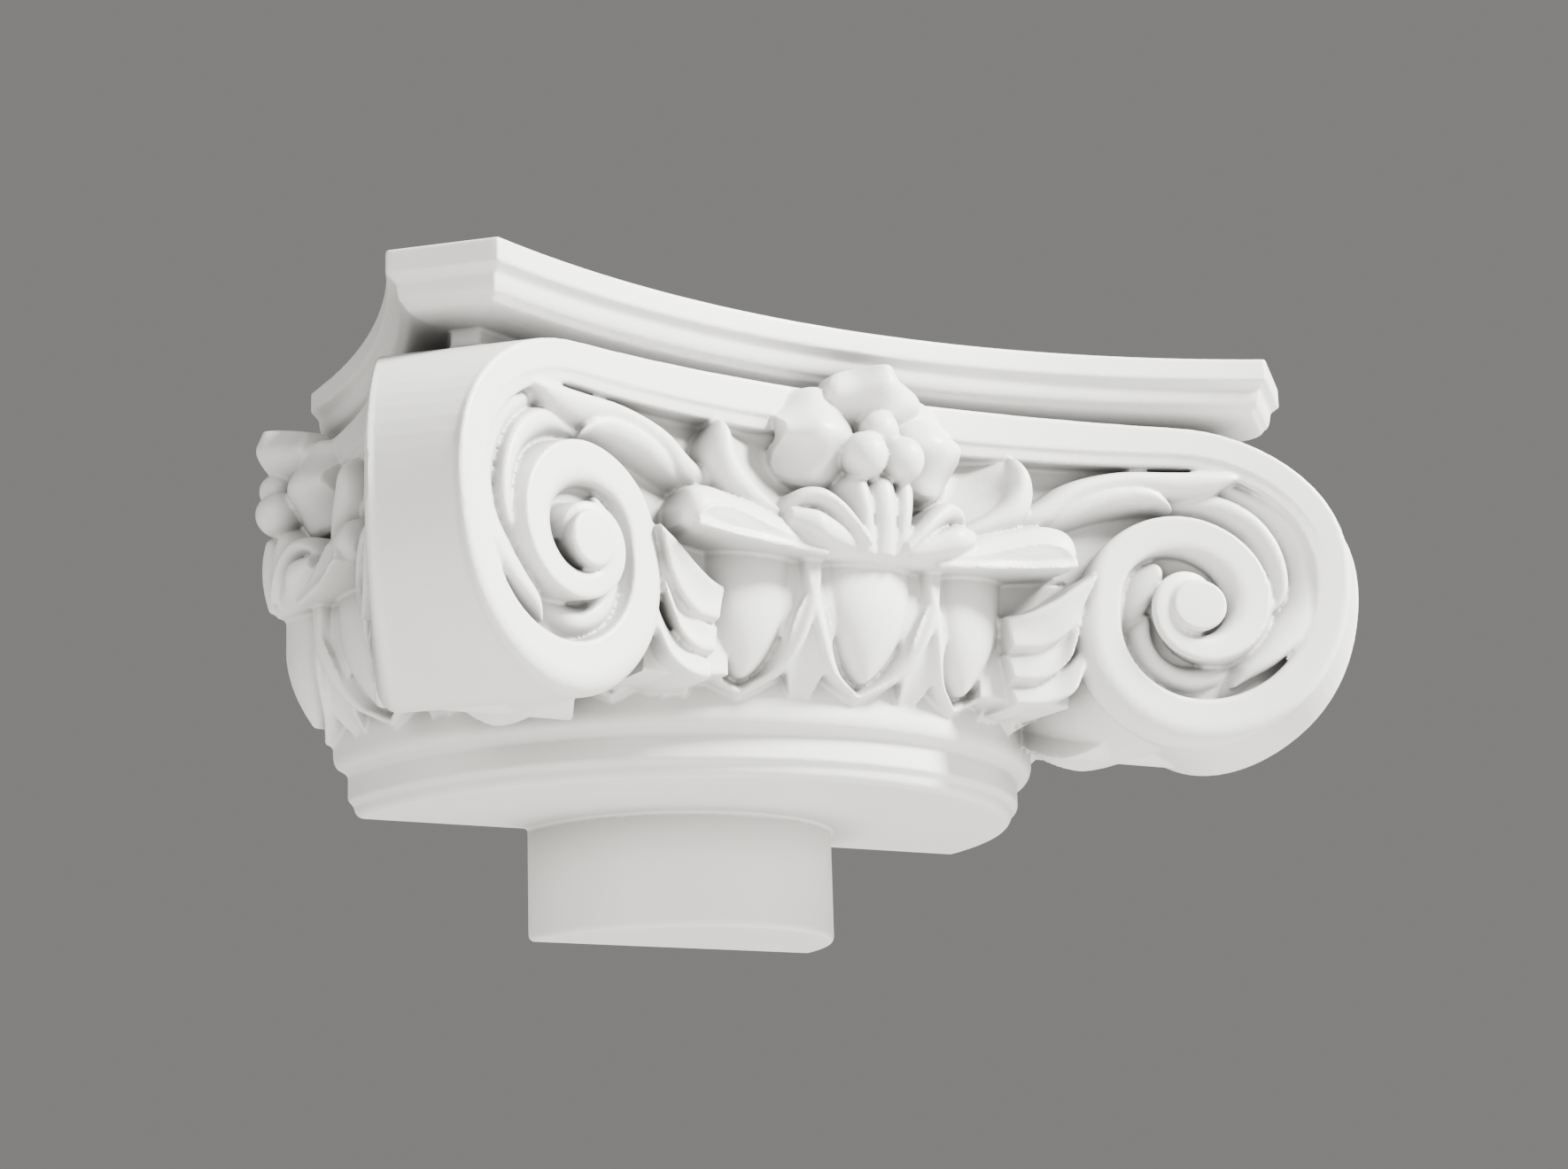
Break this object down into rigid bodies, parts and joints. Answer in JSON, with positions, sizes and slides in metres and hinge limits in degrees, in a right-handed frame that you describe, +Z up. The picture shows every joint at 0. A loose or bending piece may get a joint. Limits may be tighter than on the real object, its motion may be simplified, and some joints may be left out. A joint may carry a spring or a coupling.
{
  "type": "scroll capital for a half column",
  "caption": "Half-round column capital with four-way scrolls, leaf carving, egg row and hollow-sided abacus, for the top of a pilaster or engaged column.",
  "frame": {"origin": "on the flat back, at the column's axis and at the height of the seat on the shaft", "axes": "+Y points into the wall, -Y is the front, +X is to the right for someone facing the front, +Z is up"},
  "size_m": [0.3673, 0.1839, 0.1872],
  "materials": {
    "cast_body": "primed satin white"
  },
  "bodies": {
    "root": {"capital": "cast_body"}
  },
  "joints": []
}
